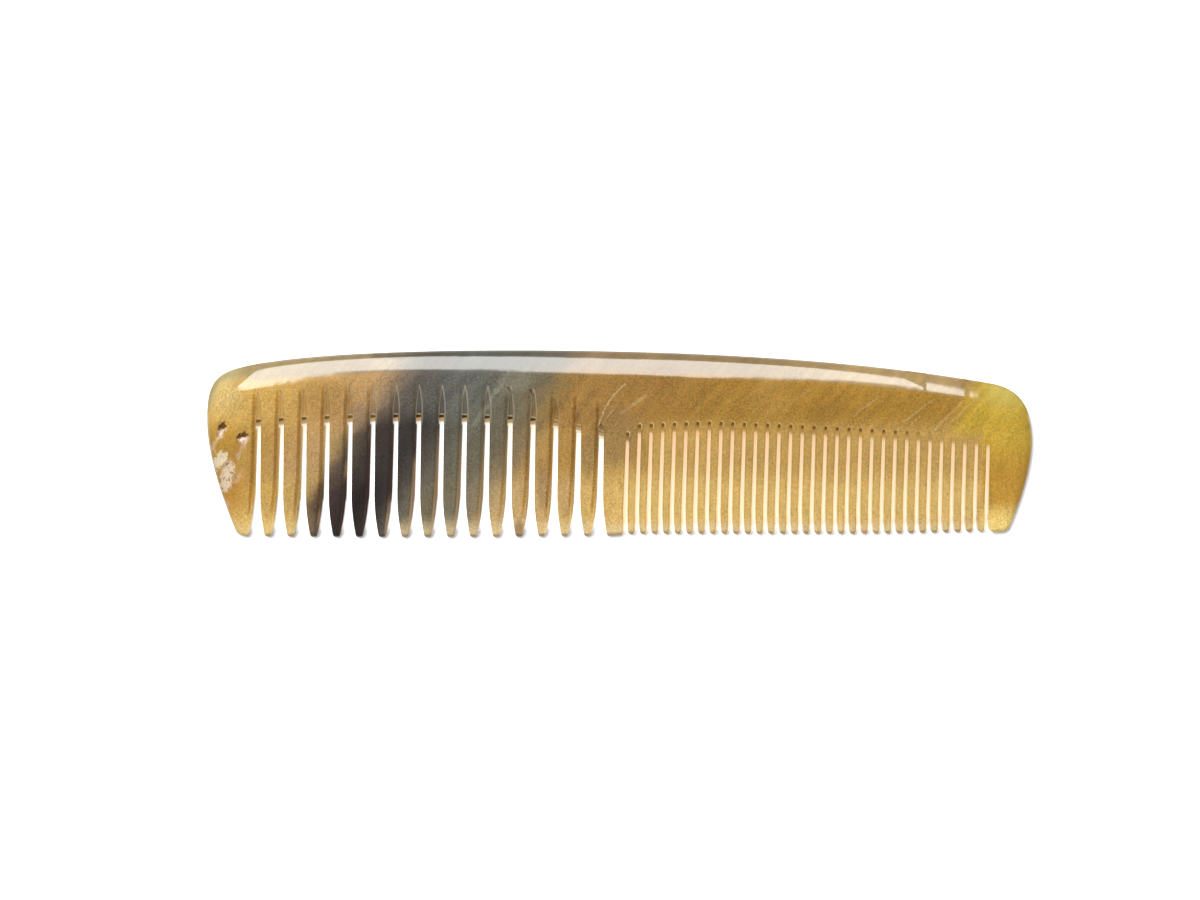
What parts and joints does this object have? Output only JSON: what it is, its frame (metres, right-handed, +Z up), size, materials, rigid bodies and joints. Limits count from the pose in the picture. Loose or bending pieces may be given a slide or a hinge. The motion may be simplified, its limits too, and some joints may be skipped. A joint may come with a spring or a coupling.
{
  "type": "pocket comb",
  "caption": "One-piece horn pocket comb with a bowed back, wide teeth at one end and fine teeth at the other, guarded by a thick end tooth on each side.",
  "frame": {"origin": "middle of the comb's footprint, on the face that it lies on", "axes": "+X along the comb towards the fine teeth, +Y from the tips towards the bowed back, +Z up out of the face that it lies on"},
  "size_m": [0.1304, 0.0296, 0.0034],
  "materials": {
    "horn": "polished horn, amber with a smoke-brown band, slightly see-through"
  },
  "bodies": {
    "root": {"comb": "horn"}
  },
  "joints": []
}
